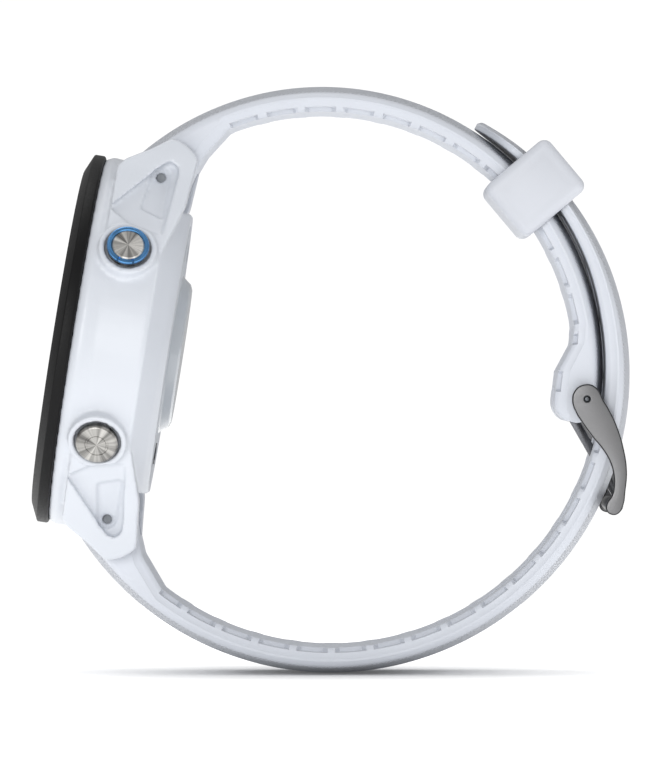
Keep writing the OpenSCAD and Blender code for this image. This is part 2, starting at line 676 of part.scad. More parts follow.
module short_band() {
    join_a = short_bar_a - 19;
    head_a = pin_a + 14;
    head_c = pin + [-1.35, -0.35];
    color("#c2c5cc") difference() {
        union() {
            swept(short_c, head_a, join_a) band_section(short_r, short_crown);
            band_end(1, short_c, short_r, short_crown, short_bar_a);
            intersection() {
                swept(short_c, pin_a - 8, head_a + 0.6) band_section(short_r - 8, short_crown);
                across(band_w / 2 + 1) {
                    translate(head_c) circle(r = 2.6);
                    translate(pin) circle(r = pin_inset - 0.15);
                    polygon(concat([pin, head_c, head_c + [-2.58, 0.3],
                        short_c + (short_r - 2.6) * dir(pin_a + 5),
                        short_c + (short_r - 0.6) * dir(pin_a + 11),
                        short_c + (short_r + eps) * dir(head_a + 0.6)],
                        arc(short_c, short_crown + 0.5, head_a + 0.6, pin_a + 0.5, 4)));
                }
            }
        }
        bar_room(1);
        // pin hole, and the gap in which the tang turns
        translate([pin[0], 0, pin[1]]) rotate([90, 0, 0])
            cylinder(r = pin_d / 2 + run_gap, h = band_w + 2, center = true);
        across(tang_w / 2 + tang_gap) {
            translate(pin) circle(r = 2.2);
            polygon([pin + [-2.4, 0.9], pin + [2.6, 1.8], pin + [4, -6], pin + [-5, -6],
                pin + [-3.4, -1.6]]);
        }
    }
}
// adjusting slot at angle a of the arc about c, through the whole thickness
module slot_at(c, r, a) {
    translate([c[0], 0, c[1]]) rotate([0, 90 - a, 0]) translate([0, 0, r - 1]) {
        for (s = [1, -1]) translate([s * (slot_l - slot_w) / 2, 0, 0])
            cylinder(r = slot_w / 2, h = band_t + 3);
        translate([-(slot_l - slot_w) / 2, -slot_w / 2, 0]) cube([slot_l - slot_w, slot_w, band_t + 3]);
    }
}
// the free end is thinned where it lies on the buckle half
module free_end() {
    difference() {
        swept(tongue_c, turn_a - 1, tip_a)
            band_section(tongue_crown - tongue_t + eps, tongue_crown - eps);
        translate([short_c[0], 0, short_c[1]]) rotate([90, 0, 0])
            cylinder(r = short_crown + lap_gap, h = band_w + 2, center = true);
    }
}
module long_band() {
    join_a = long_bar_a + 19;
    color("#c2c5cc") difference() {
        union() {
            swept(long_c, join_a, thin_a) band_section(long_r, long_crown);
            swept(long_c, thin_a - 0.5, turn_a) band_section(long_crown - tongue_t, long_crown);
            free_end();
            band_end(-1, long_c, long_r, long_crown, long_bar_a);
        }
        bar_room(-1);
        for (i = [-4:2]) slot_at(long_c, long_r, used_a + i * slot_step);
        for (i = [0:2]) slot_at(tongue_c, tongue_crown - tongue_t, turn_a + 6.2 + i * slot_step);
        tip_round();
    }
}
// rounds the corners of the free end in plan
module tip_round() {
    translate([tongue_c[0], 0, tongue_c[1]]) rotate([0, -tip_a, 0])
        translate([tongue_crown - 4, 0, 0.02]) rotate([0, 90, 0]) difference() {
            translate([-0.5, -band_w, 0]) cube([7, 2 * band_w, 8]);
            translate([band_w * 0.62, 0, -1]) cylinder(r = band_w * 0.62, h = 10);
        }
}

// ================= buckle =================
module buckle_frame() {
    color("#9c9c9c") difference() {
        union() {
            for (s = [1, -1]) translate([0, s * (arm_in + arm_t / 2), 0]) across(arm_t / 2) {
                translate(pin) circle(r = head_r);
                translate(endbar) circle(r = endbar_d / 2);
                polygon([on_buckle(0, head_r - 0.02), on_buckle(3.77 * buckle_scale, 2.65),
                    on_buckle(7 * buckle_scale, 2.8), on_buckle(9.9 * buckle_scale, 2.3),
                    on_buckle(12.4 * buckle_scale, 1.3), endbar, on_buckle(13.2 * buckle_scale, -0.9),
                    on_buckle(11.4 * buckle_scale, 0.3), on_buckle(9.7 * buckle_scale, 0.7),
                    on_buckle(8.2 * buckle_scale, 0.75), on_buckle(6.6 * buckle_scale, 0.3),
                    on_buckle(1.6, -1.4), on_buckle(0.7, -1.7), pin]);
            }
            across(arm_in + 0.2) translate(endbar) circle(r = endbar_d / 2);
        }
        across(tang_w / 2 + tang_gap) polygon([on_buckle(buckle_l - 2, notch_t),
            on_buckle(buckle_l + 2, notch_t), on_buckle(buckle_l + 2, 3), on_buckle(buckle_l - 2, 3)]);
        translate([pin[0], 0, pin[1]]) rotate([90, 0, 0])
            cylinder(r = pin_d / 2, h = 2 * (arm_in + arm_t) + 2, center = true);
    }
}
module buckle_pin() {
    color("#8a8c8f") translate([pin[0], 0, pin[1]]) rotate([90, 0, 0])
        cylinder(r = pin_d / 2, h = 2 * (arm_in + arm_t) - 0.2, center = true);
}
module buckle_tang() {
    along = (tang_end - tang_start) / norm(tang_end - tang_start);
    thick = spin(along) * tang_t;
    color("#4a4b4d") difference() {
        across(tang_w / 2) {
            translate(pin) circle(r = pin_d / 2 + 0.75);
            translate(tang_end + thick / tang_t * tang_tip / 2) circle(r = tang_tip / 2);
            polygon([pin + [-1.5, -0.1], tang_start + [-0.2, 0.6], tang_start, tang_end,
                tang_end + thick / tang_t * tang_tip, tang_start + thick + along * 8,
                tang_start + thick + along * 1.2, pin + [0.6, -1.3], pin]);
        }
        translate([pin[0], 0, pin[1]]) rotate([90, 0, 0])
            cylinder(r = pin_d / 2 + run_gap, h = band_w, center = true);
    }
}

// ================= keeper =================
module keeper() {
    h = keeper_out - keeper_in + keeper_under + keeper_wall;
    color("#d9dade") difference() {
        translate([short_c[0], 0, short_c[1]]) rotate([0, -keeper_a, 0])
            translate([keeper_in - keeper_under + h / 2, 0, 0])
            across(band_w / 2 + side_gap + keeper_wall) {
                square([h - 2 * keeper_corner, keeper_l], center = true);
                square([h, keeper_l - 2 * keeper_corner], center = true);
                for (i = [1, -1], j = [1, -1])
                    translate([i * (h / 2 - keeper_corner), j * (keeper_l / 2 - keeper_corner)])
                        circle(r = keeper_corner);
            }
        swept(short_c, keeper_a - 16, keeper_a + 16) translate([keeper_in, -band_w / 2 - side_gap])
            square([keeper_out - keeper_in, band_w + 2 * side_gap]);
    }
}

case();
bezel();
lens();
display_panel();
display_frame();
front_gasket();
antenna_ring();
main_board();
board_chips();
board_spacers();
battery();
motor_can();
motor_rotor();
buzzer();
button_switches();
pressure_vent();
back_cover();
back_gasket();
back_screws();
sensor_window();
sensor_board();
charge_socket();
charge_pins();
start_cap();
start_ring();
start_seal();
start_clip();
lap_cap();
lap_seal();
lap_clip();
light_cap();
light_seal();
light_clip();
up_cap();
up_seal();
up_clip();
down_cap();
down_seal();
down_clip();
upper_bar();
upper_release();
lower_bar();
lower_release();
short_band();
long_band();
buckle_frame();
buckle_pin();
buckle_tang();
keeper();
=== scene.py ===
"""Looks of a running watch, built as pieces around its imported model."""
import json
import math

import bmesh
import bpy
from mathutils import Matrix, Vector

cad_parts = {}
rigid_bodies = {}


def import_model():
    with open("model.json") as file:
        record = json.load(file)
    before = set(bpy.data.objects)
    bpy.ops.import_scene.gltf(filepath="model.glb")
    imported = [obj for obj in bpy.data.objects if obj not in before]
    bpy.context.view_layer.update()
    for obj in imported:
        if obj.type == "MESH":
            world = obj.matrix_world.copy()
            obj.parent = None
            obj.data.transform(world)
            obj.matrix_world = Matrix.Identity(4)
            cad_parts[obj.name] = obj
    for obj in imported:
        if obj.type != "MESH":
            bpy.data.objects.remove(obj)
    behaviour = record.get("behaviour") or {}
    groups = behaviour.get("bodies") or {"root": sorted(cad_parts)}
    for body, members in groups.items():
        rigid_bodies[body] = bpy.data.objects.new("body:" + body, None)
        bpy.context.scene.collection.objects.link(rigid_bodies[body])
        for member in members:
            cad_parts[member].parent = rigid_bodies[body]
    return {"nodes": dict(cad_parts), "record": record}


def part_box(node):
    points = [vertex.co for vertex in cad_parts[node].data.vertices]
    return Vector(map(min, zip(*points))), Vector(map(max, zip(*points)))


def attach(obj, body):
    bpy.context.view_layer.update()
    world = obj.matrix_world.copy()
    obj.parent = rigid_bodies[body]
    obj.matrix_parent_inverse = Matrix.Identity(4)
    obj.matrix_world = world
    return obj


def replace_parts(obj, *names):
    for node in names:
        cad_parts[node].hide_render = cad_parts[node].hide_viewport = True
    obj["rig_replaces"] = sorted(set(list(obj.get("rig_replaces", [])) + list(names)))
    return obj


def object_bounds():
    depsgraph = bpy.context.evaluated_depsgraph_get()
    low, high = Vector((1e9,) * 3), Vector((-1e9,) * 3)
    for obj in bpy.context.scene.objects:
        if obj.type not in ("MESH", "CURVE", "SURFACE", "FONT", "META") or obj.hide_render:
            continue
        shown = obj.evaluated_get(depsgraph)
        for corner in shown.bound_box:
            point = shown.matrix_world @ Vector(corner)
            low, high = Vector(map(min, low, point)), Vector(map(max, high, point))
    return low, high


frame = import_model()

bl_info = {
    "name": "Running watch looks",
    "version": (1, 0, 0),
    "blender": (4, 5, 0),
    "location": "View3D > Sidebar > Watch",
    "description": "Builds the visible pieces and finishes of a running watch on its band",
    "category": "Object",
}

CAD_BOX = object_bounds()
MM = 0.001


# ---- sizes that the pieces share with the solid model, in millimetres ----
TILT = 9.0                       # how far the display leans back
CASE_AT = (-32.6925, 5.17798)    # middle of the joint between case and bezel, as (x, z)
CASE_R = 23.2
LENS_R = 18.9
BUTTON_DEPTH = 5.0               # button axes below the bezel
CAP_FACE = 24.9                  # outer face of the button caps from the case's middle
CAP_STEM = 16.6                  # inner end of the button stems
DARK_CAP = 0.62                  # how bright the other four caps are beside the start cap
BAR_UP = (-21.9528, 25.0425)     # spring bars
BAR_LOW = (-28.6169, -17.033)
SHORT_AT = (-2.07966, 1.77406)   # centre of the buckle half's arc
SHORT_R, LONG_R = 31.6, 33.93    # inner faces of the two halves, each from its own centre
END_R = 3.55                     # thick ends round the spring bars
LONG_AT = (-0.999436, 0.901936)
TONGUE_AT = (0.850478, 1.29515)  # centre of the free end's tighter arc
TONGUE_CROWN = 35.4388
TURN, TIP = 12.0, 62.0           # where the free end's arc starts and stops, degrees
PIN_AT = (30.6247, -2.24153)
ENDBAR_AT = (34.1425, -15.3787)
SHORT_BAR, LONG_BAR = 130.5, -147.0   # direction of each spring bar from its half's centre
LAP = 35.12                      # the free end lies on this radius about SHORT_AT
THIN = -6.6                      # the long half starts to lie on the buckle half here, degrees
KEEPER = 40.0                    # direction of the keeper from SHORT_AT
SLOT_USED, SLOT_PITCH = -18.5, 7.4    # slot that holds the tang, degrees, and slot spacing
STEPS_ALONG = 0.5                # the halves are lofted in steps of this many degrees
CAPS = {"start": 30, "lap": -30, "light": 150, "up": 180, "down": 210}


def linear(code):
    """An sRGB hex code as linear red, green and blue."""
    parts = [int(code[i:i + 2], 16) / 255 for i in (1, 3, 5)]
    return tuple(c / 12.92 if c <= 0.04045 else ((c + 0.055) / 1.055) ** 2.4 for c in parts)


def colour(label, about, code):
    return bpy.props.FloatVectorProperty(name=label, description=about, subtype="COLOR",
                                         size=3, min=0, max=1, default=linear(code))


def length(label, about, mm):
    return bpy.props.FloatProperty(name=label, description=about, unit="LENGTH", precision=5,
                                   min=0, default=mm * MM)


class WatchColours(bpy.types.PropertyGroup):
    """Colours that a user would change."""
    case: colour("Case", "Moulded case polymer", "#cbcfd6")
    bezel: colour("Bezel", "Ring round the display", "#0c0c0d")
    band: colour("Band", "Silicone of both band halves", "#d3d7df")
    keeper: colour("Keeper", "Silicone loop over the free end", "#c6c9d0")
    accent: colour("Start ring", "Anodised ring of the start button", "#5b93c8")
    metal: colour("Button metal", "Brushed button caps", "#c6c4c0")
    buckle: colour("Buckle", "Bead-blasted buckle frame", "#757576")


class WatchSizes(bpy.types.PropertyGroup):
    """Sizes of the details that the pieces add to the solid model."""
    band_w: length("Band width", "Between the lugs", 22.0)
    band_t: length("Band thickness", "At the crown of the outer face", 3.4)
    crown_drop: length("Crown", "How far the outer face falls to its edges", 1.0)
    hatch_pitch: length("Hatch pitch", "Distance between the outer face's diagonal lines", 0.55)
    notch_pitch: length("Notch pitch", "Distance between the vent notches of the inner face", 4.75)
    notch_l: length("Notch length", "Length of one vent notch", 3.3)
    notch_depth: length("Notch depth", "How deep a vent notch goes in from the side", 1.5)
    keeper_round: length("Keeper rounding", "Radius of the keeper's outer edges", 1.15)


# ================= mesh helpers =================
def at_spot(spot):
    """From millimetres round a spot (x, z) of the middle plane to metres."""
    return Matrix.Translation((spot[0] * MM, 0, spot[1] * MM)) @ Matrix.Scale(MM, 4)


def leaning(spot):
    """Round a spot, with z out of the display, y to 12 o'clock and x to 3 o'clock."""
    return (at_spot(spot) @ Matrix.Rotation(math.radians(TILT), 4, "Y")
            @ Matrix.Rotation(-math.pi / 2, 4, "Z") @ Matrix.Rotation(math.pi / 2, 4, "X"))


def case_matrix():
    """From the case's own frame, in metres."""
    return leaning(CASE_AT)


def button_matrix(angle):
    """z outwards along a button."""
    return (case_matrix() @ Matrix.Translation((0, 0, -BUTTON_DEPTH))
            @ Matrix.Rotation(math.radians(angle), 4, "Z") @ Matrix.Rotation(math.pi / 2, 4, "Y"))


def finish_piece(name, bm, material, body, replaced):
    """Makes the piece's object from its mesh, and says what it rides on and stands for."""
    bmesh.ops.remove_doubles(bm, verts=bm.verts, dist=1e-7)
    bmesh.ops.recalc_face_normals(bm, faces=bm.faces)
    for face in bm.faces:
        face.smooth = True
    mesh = bpy.data.meshes.new(name)
    bm.to_mesh(mesh)
    bm.free()
    piece = bpy.data.objects.new(name, mesh)
    bpy.context.scene.collection.objects.link(piece)
    mesh.materials.append(material)
    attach(piece, body)
    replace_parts(piece, *replaced)
    return piece


def lathe(profile, matrix, steps=96, closed=True):
    """A turned mesh from a profile of (radius, height)."""
    bm = bmesh.new()
    chain = [bm.verts.new((r, 0, h)) for r, h in profile]
    edges = [bm.edges.new(pair) for pair in zip(chain, chain[1:])]
    if closed:
        edges.append(bm.edges.new((chain[-1], chain[0])))
    bmesh.ops.spin(bm, geom=chain + edges, cent=(0, 0, 0), axis=(0, 0, 1), angle=2 * math.pi,
                   steps=steps, use_merge=True)
    bmesh.ops.remove_doubles(bm, verts=bm.verts, dist=1e-6)
    bmesh.ops.transform(bm, matrix=matrix, verts=bm.verts)
    return bm


def across_band(profile, spot, steps=40):
    """A turned mesh of (radius, y) whose axis crosses the band at a spot of the middle plane."""
    bm = lathe(profile, at_spot(spot) @ Matrix.Rotation(math.pi / 2, 4, "X"), steps, closed=False)
    bmesh.ops.recalc_face_normals(bm, faces=bm.faces)
    return bm


def soften(bm, width, segments=3, limit=28):
    """Bevels the edges whose faces meet at more than the limit."""
    bmesh.ops.recalc_face_normals(bm, faces=bm.faces)
    edges = [e for e in bm.edges
             if len(e.link_faces) == 2 and e.calc_face_angle(0) > math.radians(limit)]
    bmesh.ops.bevel(bm, geom=edges, offset=width * MM, offset_type="OFFSET", segments=segments,
                    profile=0.5, affect="EDGES", clamp_overlap=True, material=-1)
    return bm


def block(size, matrix):
    """A box centred on the matrix, size in its units."""
    bm = bmesh.new()
    bmesh.ops.create_cube(bm, size=1)
    bmesh.ops.scale(bm, vec=size, verts=bm.verts)
    bmesh.ops.transform(bm, matrix=matrix, verts=bm.verts)
    return bm


def copy_of_node(name):
    """The solid's own mesh, merged so that it can be shaped."""
    bm = bmesh.new()
    bm.from_mesh(frame["nodes"][name].data)
    bmesh.ops.remove_doubles(bm, verts=bm.verts, dist=2e-6)
    bmesh.ops.dissolve_limit(bm, angle_limit=math.radians(0.6), verts=bm.verts, edges=bm.edges)
    return bm


def loose_object(bm, name="helper"):
    mesh = bpy.data.meshes.new(name)
    bm.to_mesh(mesh)
    bm.free()
    made = bpy.data.objects.new(name, mesh)
    bpy.context.scene.collection.objects.link(made)
    return made


def shaped(obj, modifiers):
    """The object's mesh after (kind, settings) modifiers, as a new bmesh; the object goes away."""
    for kind, settings in modifiers:
        mod = obj.modifiers.new(kind.lower(), kind)
        for key, value in settings.items():
            setattr(mod, key, value)
    bpy.context.view_layer.update()
    ready = obj.evaluated_get(bpy.context.evaluated_depsgraph_get())
    bm = bmesh.new()
    bm.from_mesh(ready.to_mesh())
    ready.to_mesh_clear()
    bpy.data.objects.remove(obj)
    return bm


def combined(bm, others, operation):
    """bm with each other mesh cut from it or joined to it."""
    for other in others:
        tool = loose_object(other, "tool")
        bm = shaped(loose_object(bm), [("BOOLEAN", {"operation": operation, "object": tool,
                                                    "solver": "EXACT"})])
        bpy.data.objects.remove(tool)
    return bm


# ================= finishes =================
def add(tree, kind, values=(), links=(), **settings):
    """Adds a node with its settings, socket values and links, and returns its outputs."""
    made = tree.nodes.new(kind)
    for key, value in settings.items():
        setattr(made, key, value)
    for key, value in dict(values).items():
        made.inputs[key].default_value = value
    for key, source in dict(links).items():
        tree.links.new(made.inputs[key], source)
    return made.outputs


def start_material(name):
    material = bpy.data.materials.new(name)
    material.use_nodes = True
    tree = material.node_tree
    tree.nodes.clear()
    place = add(tree, "ShaderNodeTexCoord")["Object"]
    return material, tree, place


def end_material(tree, values, links):
    shader = add(tree, "ShaderNodeBsdfPrincipled", values, links)["BSDF"]
    add(tree, "ShaderNodeOutputMaterial", links={"Surface": shader})


def grained(name, rgb, rough, grain, bump, metal=0.0, tint=0.04, extra=()):
    """A moulded or worked surface: patches of slightly different tone, and an even fine grain.
    grain is the size of one grain in millimetres, bump its height."""
    material, tree, place = start_material(name)
    patches = add(tree, "ShaderNodeTexNoise", {"Scale": 1 / (9 * MM), "Detail": 2.0},
                  {"Vector": place})["Fac"]
    fine = add(tree, "ShaderNodeTexNoise", {"Scale": 1 / (grain * MM), "Detail": 2.0,
                                           "Roughness": 0.6}, {"Vector": place})["Fac"]
    dark = tuple(c * (1 - tint) for c in rgb)
    light = tuple(min(1, c * (1 + tint)) for c in rgb)
    base = add(tree, "ShaderNodeMix", {6: (*dark, 1), 7: (*light, 1)}, {0: patches},
               data_type="RGBA")[2]
    speck = add(tree, "ShaderNodeMapRange", {"From Min": 0.3, "From Max": 0.7,
                                            "To Min": max(0.02, rough - 0.05),
                                            "To Max": min(1, rough + 0.05)}, {"Value": fine})[0]
    relief = add(tree, "ShaderNodeBump", {"Strength": 1.0, "Distance": bump * MM},
                 {"Height": fine})[0]
    end_material(tree, {"Metallic": metal, **dict(extra)},
                 {"Base Color": base, "Roughness": speck, "Normal": relief})
    return material


def hatched_silicone(name, rgb, centre, radius, pitch):
    """Compression-moulded silicone: soft broad sheen, with a fine diagonal hatch on the crowned
    outer face only, so that the sides stay smooth. centre and radius are the half's own arc."""
    material, tree, place = start_material(name)
    local = add(tree, "ShaderNodeVectorMath", {1: (centre[0] * MM, 0, centre[1] * MM)},
                {0: place}, operation="SUBTRACT")[0]
    axes = add(tree, "ShaderNodeSeparateXYZ", links={0: local})
    turn = add(tree, "ShaderNodeMath", links={0: axes["Z"], 1: axes["X"]},
               operation="ARCTAN2")[0]
    along = add(tree, "ShaderNodeMath", {1: radius * MM}, {0: turn}, operation="MULTIPLY")[0]
    slant = add(tree, "ShaderNodeMath", links={0: along, 1: axes["Y"]}, operation="ADD")[0]
    phase = add(tree, "ShaderNodeMath", {1: 2 * math.pi / pitch}, {0: slant},
                operation="MULTIPLY")[0]
    wave = add(tree, "ShaderNodeMath", links={0: phase}, operation="SINE")[0]
    flat = add(tree, "ShaderNodeCombineXYZ", links={0: axes["X"], 1: axes["Z"]})[0]
    reach = add(tree, "ShaderNodeVectorMath", links={0: flat}, operation="LENGTH")["Value"]
    outer = add(tree, "ShaderNodeMapRange", {"From Min": (radius - 1.12) * MM,
                                            "From Max": (radius - 0.98) * MM}, {"Value": reach})[0]
    lines = add(tree, "ShaderNodeMath", links={0: wave, 1: outer}, operation="MULTIPLY")[0]
    patches = add(tree, "ShaderNodeTexNoise", {"Scale": 1 / (11 * MM), "Detail": 2.0},
                  {"Vector": place})["Fac"]
    # dust-fine matt grain of the mould, 0.2 mm, coarser than the real one so that it shows
    fine = add(tree, "ShaderNodeTexNoise", {"Scale": 1 / (0.2 * MM), "Detail": 2.0},
               {"Vector": place})["Fac"]
    base = add(tree, "ShaderNodeMix", {6: (*[c * 0.96 for c in rgb], 1),
                                       7: (*[min(1, c * 1.04) for c in rgb], 1)},
               {0: patches}, data_type="RGBA")[2]
    # painted shade and highlight: the hatch's grooves are darker and its crests lighter in colour,
    # besides their bump
    tone = add(tree, "ShaderNodeMapRange", {"From Min": -1, "From Max": 1, "To Min": 0.74,
                                           "To Max": 1.08}, {"Value": lines})[0]
    shade = add(tree, "ShaderNodeVectorMath", links={0: base, "Scale": tone},
                operation="SCALE")[0]
    grain = add(tree, "ShaderNodeBump", {"Strength": 1.0, "Distance": 0.006 * MM},
                {"Height": fine})[0]
    relief = add(tree, "ShaderNodeBump", {"Strength": 1.0, "Distance": 0.1 * MM},
                 {"Height": lines, "Normal": grain})[0]
    end_material(tree, {"Roughness": 0.46, "IOR": 1.41, "Sheen Weight": 0.08,
                        "Sheen Roughness": 0.4},
                 {"Base Color": shade, "Normal": relief})
    return material


def turned_metal(name, rgb, matrix, rough, pitch, extra=(), painted_fan=0.6):
    """Metal faced on a lathe: rings round the middle as tone and bump, with painted highlight and
    shade in broad sectors that meet in the middle. The last argument sets how strongly the painted
    sectors stand out."""
    material, tree, place = start_material(name)
    centre, axis = matrix.translation, (matrix.to_3x3() @ Vector((0, 0, 1))).normalized()
    local = add(tree, "ShaderNodeVectorMath", {1: tuple(centre)}, {0: place},
                operation="SUBTRACT")[0]
    round_way = add(tree, "ShaderNodeVectorMath", {1: tuple(axis)}, {0: local},
                    operation="CROSS_PRODUCT")[0]
    reach = add(tree, "ShaderNodeVectorMath", links={0: round_way}, operation="LENGTH")["Value"]
    tangent = add(tree, "ShaderNodeVectorMath", links={0: round_way}, operation="NORMALIZE")[0]
    # tool marks 0.08 mm apart, drawn coarser than the real ones
    rings = add(tree, "ShaderNodeTexNoise", {"Scale": 1.0, "Detail": 3.0},
                {"Vector": add(tree, "ShaderNodeCombineXYZ", links={0: add(
                    tree, "ShaderNodeMath", {1: 1 / (pitch * MM)}, {0: reach},
                    operation="MULTIPLY")[0]})[0]})["Fac"]
    relief = add(tree, "ShaderNodeBump", {"Strength": 1.0, "Distance": 0.004 * MM},
                 {"Height": rings})[0]
    tone = add(tree, "ShaderNodeMapRange", {"From Min": 0.3, "From Max": 0.7, "To Min": 0.9,
                                           "To Max": 1.06}, {"Value": rings})[0]
    # painted highlight and shade: broad light and dark sectors that meet in the middle, standing
    # in for the reflection of the turned face
    painted_wedges = add(tree, "ShaderNodeTexNoise", {"Scale": 1.9, "Detail": 3.0, "Roughness": 0.6},
                 {"Vector": tangent})["Fac"]
    painted_fan_tone = add(tree, "ShaderNodeMapRange", {"From Min": 0.36, "From Max": 0.64,
                                           "To Min": 1 - painted_fan, "To Max": 1 + painted_fan},
               {"Value": painted_wedges})[0]
    both = add(tree, "ShaderNodeMath", links={0: tone, 1: painted_fan_tone}, operation="MULTIPLY")[0]
    base = add(tree, "ShaderNodeVectorMath", {0: rgb}, {"Scale": both}, operation="SCALE")[0]
    end_material(tree, {"Metallic": 1.0, "Roughness": rough, "Anisotropic": 0.85, **dict(extra)},
                 {"Base Color": base, "Normal": relief, "Tangent": tangent})
    return material


def lens_material(name):
    """Strengthened cover glass: black and mirror-smooth, with the display's dull grey disc
    showing through inside a black printed border."""
    material, tree, place = start_material(name)
    matrix = case_matrix()
    local = add(tree, "ShaderNodeVectorMath", {1: tuple(matrix.translation)}, {0: place},
                operation="SUBTRACT")[0]
    reach = add(tree, "ShaderNodeVectorMath", links={0: local}, operation="LENGTH")["Value"]
    inside = add(tree, "ShaderNodeMapRange", {"From Min": 16.9 * MM, "From Max": 16.75 * MM},
                 {"Value": reach})[0]
    cells = add(tree, "ShaderNodeTexVoronoi", {"Scale": 1 / (0.35 * MM)}, {"Vector": place},
                feature="F1")["Distance"]
    dots = add(tree, "ShaderNodeMapRange", {"From Min": 0.0, "From Max": 0.9, "To Min": 0.85,
                                           "To Max": 1.0}, {"Value": cells})[0]
    panel = add(tree, "ShaderNodeVectorMath", {0: linear("#23282b")}, {"Scale": dots},
                operation="SCALE")[0]
    base = add(tree, "ShaderNodeMix", {6: (*linear("#060708"), 1)}, {0: inside, 7: panel},
               data_type="RGBA")[2]
    end_material(tree, {"Roughness": 0.04, "IOR": 1.51, "Coat Weight": 0.6,
                        "Coat Roughness": 0.02}, {"Base Color": base})
    return material


def board_material(name):
    """Solder-masked board: dark green gloss with paler straight tracks 0.5 mm apart."""
    material, tree, place = start_material(name)
    tracks = add(tree, "ShaderNodeTexBrick", {"Scale": 1 / (2.4 * MM), "Mortar Size": 0.03,
                                             "Color1": (*linear("#0d4a30"), 1),
                                             "Color2": (*linear("#0b3f2a"), 1),
                                             "Mortar": (*linear("#2f7a52"), 1)},
                 {"Vector": place})["Color"]
    end_material(tree, {"Roughness": 0.3, "Coat Weight": 0.4}, {"Base Color": tracks})
    return material


def crinkled(name, rgb, metal):
    """Foil: broad shallow creases that break up its reflection."""
    material, tree, place = start_material(name)
    creases = add(tree, "ShaderNodeTexVoronoi", {"Scale": 1 / (2.5 * MM)}, {"Vector": place},
                  feature="DISTANCE_TO_EDGE")["Distance"]
    relief = add(tree, "ShaderNodeBump", {"Strength": 0.6, "Distance": 0.05 * MM},
                 {"Height": creases})[0]
    # painted shade: the foil is darker along its creases
    tone = add(tree, "ShaderNodeMapRange", {"To Min": 0.85, "To Max": 1.05},
               {"Value": creases})[0]
    base = add(tree, "ShaderNodeVectorMath", {0: rgb}, {"Scale": tone}, operation="SCALE")[0]
    end_material(tree, {"Metallic": metal, "Roughness": 0.32}, {"Base Color": base,
                                                              "Normal": relief})
    return material


def finishes(colours):
    """Every material but those that need a place of their own, by the record's slot."""
    made = {
        # glass-filled polymer from a spark-eroded mould: satin, with a barely visible grain
        "case_polymer": grained("moulded_case_polymer", colours.case, 0.36, 0.22, 0.004,
                                extra={"IOR": 1.5, "Coat Weight": 0.12, "Coat Roughness": 0.2}),
        # same process in black, a little duller
        "bezel_polymer": grained("moulded_black_polymer", colours.bezel, 0.48, 0.25, 0.008,
                                 extra={"Specular IOR Level": 0.18}),
        "lens_glass": lens_material("strengthened_cover_glass"),
        # reflective display layer under the glass
        "display": grained("display_stack", linear("#23282b"), 0.2, 0.3, 0.001),
        # mineral-filled inner chassis, dull
        "dark_polymer": grained("filled_black_polymer", linear("#2c2f33"), 0.6, 0.3, 0.01),
        # moulded seals, soft and matt
        "seal_rubber": grained("nitrile_rubber", linear("#26262a"), 0.75, 0.2, 0.006),
        # hard gold over nickel, bright
        "gold_contact": grained("gold_plating", linear("#d8b25a"), 0.22, 0.2, 0.001, metal=1.0),
        "circuit_board": board_material("solder_masked_board"),
        # transfer-moulded chip bodies, charcoal and matt
        "chip_plastic": grained("moulded_epoxy", linear("#17191c"), 0.55, 0.15, 0.004),
        "battery_foil": crinkled("battery_foil", linear("#a3a7ac"), 0.8),
        # drawn and turned small steel parts, mid grey with a slight drag
        "plain_steel": grained("turned_steel", linear("#5c5f63"), 0.34, 0.3, 0.002, metal=1.0),
        # felted membrane, white and dead matt
        "vent_membrane": grained("vent_membrane", linear("#e6e6e6"), 0.9, 0.12, 0.02),
        # same polymer as the case, a shade greyer and smoother
        "back_polymer": grained("moulded_back_polymer", linear("#b7bcc2"), 0.4, 0.25, 0.004),
        # polished pale cover over the sensor
        "sensor_cover": grained("polished_sensor_cover", linear("#b4b9bf"), 0.22, 0.4, 0.001,
                                extra={"Coat Weight": 0.4, "Coat Roughness": 0.05}),
        # the band's silicone from a polished mould: a shade darker, and smoother
        "keeper_silicone": grained("moulded_silicone", colours.keeper, 0.44, 0.2, 0.005,
                                   extra={"IOR": 1.41, "Sheen Weight": 0.08}),
        # bead-blasted steel: grey with pale and dark specks of 0.15 mm
        "blasted_steel": grained("bead_blasted_steel", colours.buckle, 0.42, 0.16, 0.012,
                                 metal=1.0, tint=0.06),
        # tumbled dark coated steel, glossy
        "dark_steel": grained("coated_steel", linear("#4a4b4e"), 0.22, 0.3, 0.002, metal=1.0),
    }
    return made


MADE = {}                        # finishes by slot, filled once by the first operator


def material_for(slot):
    if not MADE:
        MADE.update(finishes(bpy.context.scene.watch_colours))
    return MADE[slot]


# ================= outlines in the plane of the band =================
def ray(angle):
    return Vector((math.cos(math.radians(angle)), math.sin(math.radians(angle))))


def on_side(u, d):
    """u towards 12 o'clock from the middle of the case, d behind the bezel."""
    return Vector(CASE_AT) + u * ray(90 - TILT) - d * ray(180 - TILT)


def arc(centre, radius, start, stop, count):
    return [Vector(centre) + radius * ray(start + (stop - start) * i / count)
            for i in range(count + 1)]


def crossings(centre, angle, outline):
    """Distances at which the ray from centre meets the closed outline, nearest first."""
    origin, way, found = Vector(centre), ray(angle), []
    for p, q in zip(outline, outline[1:] + outline[:1]):
        a, b = p - origin, q - origin
        sa, sb = way.cross(a), way.cross(b)
        if (sa < 0) != (sb < 0):
            t = sa / (sa - sb)
            reach = way.dot(a + (b - a) * t)
            if reach > 0:
                found.append(reach)
    return sorted(found)


